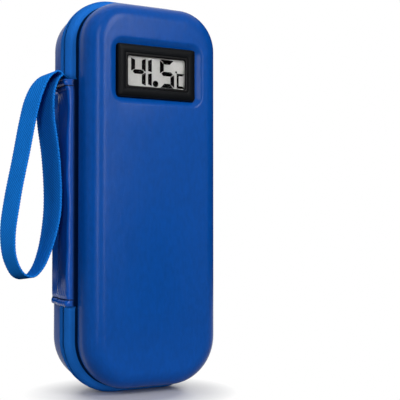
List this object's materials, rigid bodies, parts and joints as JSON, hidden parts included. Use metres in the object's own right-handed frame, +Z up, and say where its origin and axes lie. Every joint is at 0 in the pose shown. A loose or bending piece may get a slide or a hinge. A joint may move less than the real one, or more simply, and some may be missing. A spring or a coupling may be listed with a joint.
{
  "type": "insulin cooling case",
  "caption": "Upright hard-shell zip case with a thermometer display in its hinged lid, a wrist strap, and pockets for cold packs and injection pens.",
  "frame": {"origin": "on the floor under the middle of the zip's bottom run", "axes": "+Z up along the standing case, +X towards the side with the zip sliders, -Y out of the lid's face"},
  "size_m": [0.1277, 0.0567, 0.2229],
  "materials": {
    "skin": "fine grained blue skin on moulded foam, satin",
    "strip": "smooth blue leatherette, semi-gloss",
    "tape": "woven zip tape, matt",
    "coil": "nylon coil",
    "slider": "blue enamelled zinc",
    "steel": "plain nickelled steel",
    "webbing": "flat woven webbing with a ribbed face",
    "lining": "black knitted lining",
    "net": "black elastic net",
    "elastic": "black ribbed elastic",
    "gel": "soft blue film over gel",
    "black_plastic": "black moulded plastic, fine satin",
    "window": "clear polished",
    "lcd": "grey reflective display",
    "zebra": "elastomer connector",
    "board": "green solder mask",
    "epoxy": "black potting",
    "cell": "button cell can"
  },
  "bodies": {
    "base": {"base_shell": "skin", "base_lining": "lining", "base_divider": "lining", "pen_band_upper": "elastic", "pen_band_lower": "elastic", "zip_tape_base": "tape", "zip_coil_base": "coil", "zip_stop_top": "steel", "zip_stop_bottom": "steel", "spine_strip_rear": "strip"},
    "lid": {"lid_shell": "skin", "lid_lining": "lining", "lid_net": "net", "zip_tape_lid": "tape", "zip_coil_lid": "coil", "spine_strip_front": "strip", "thermo_case": "black_plastic", "thermo_window": "window", "lcd_panel": "lcd", "zebra_upper": "zebra", "zebra_lower": "zebra", "circuit_board": "board", "chip_blob": "epoxy", "contact_left": "steel", "contact_right": "steel", "cell_left": "cell", "cell_right": "cell", "cell_bridge": "steel", "rear_cover": "black_plastic", "temperature_sensor": "steel", "clip_left": "black_plastic", "clip_right": "black_plastic"},
    "strap_root": {"strap_anchor": "webbing"},
    "strap": {"wrist_strap": "webbing"},
    "slider_upper": {"zip_slider_upper": "slider"},
    "slider_lower": {"zip_slider_lower": "slider"},
    "pull_upper": {"zip_pull_upper": "slider"},
    "pull_lower": {"zip_pull_lower": "slider"},
    "door": {"battery_door": "black_plastic"},
    "pack_lid": {"gel_pack_lid": "gel"},
    "pack_base": {"gel_pack_base": "gel"}
  },
  "joints": [
    {"name": "lid_hinge", "type": "hinge", "parent": "base", "child": "lid", "pos_m": [-0.04635, 0, 0.112], "axis": [0, 0, -1], "range_deg": [0, 120], "deforming": ["wrist_strap", "strap_anchor"]},
    {"name": "strap_root_turn", "type": "hinge", "parent": "base", "child": "strap_root", "pos_m": [-0.04635, 0, 0.177], "axis": [0, 0, -1], "range_deg": [0, 60]},
    {"name": "strap_swing", "type": "hinge", "parent": "strap_root", "child": "strap", "pos_m": [-0.052, 0, 0.1793], "axis": [0, 1, 0], "range_deg": [0, 100]},
    {"name": "slider_upper_run", "type": "slide", "parent": "base", "child": "slider_upper", "axis": [0, 0, 1], "range_m": [0, 0.07]},
    {"name": "slider_lower_run", "type": "slide", "parent": "base", "child": "slider_lower", "axis": [0, 0, -1], "range_m": [0, 0.065]},
    {"name": "pull_upper_swing", "type": "hinge", "parent": "slider_upper", "child": "pull_upper", "pos_m": [0.04785, 0, 0.1199], "axis": [0, -1, 0], "range_deg": [0, 150]},
    {"name": "pull_lower_swing", "type": "hinge", "parent": "slider_lower", "child": "pull_lower", "pos_m": [0.04785, 0, 0.1041], "axis": [0, -1, 0], "range_deg": [0, 150]},
    {"name": "battery_door_slide", "type": "slide", "parent": "lid", "child": "door", "axis": [-1, 0, 0], "range_m": [0, 0.01]},
    {"name": "pack_lid_slide", "type": "slide", "parent": "lid", "child": "pack_lid", "axis": [0, 0, 1], "range_m": [0, 0.02]},
    {"name": "pack_base_slide", "type": "slide", "parent": "base", "child": "pack_base", "axis": [0, 0, 1], "range_m": [0, 0.045]}
  ],
  "couplings": [
    {"joint": "strap_root_turn", "follows": "lid_hinge", "ratio": 0.5}
  ]
}
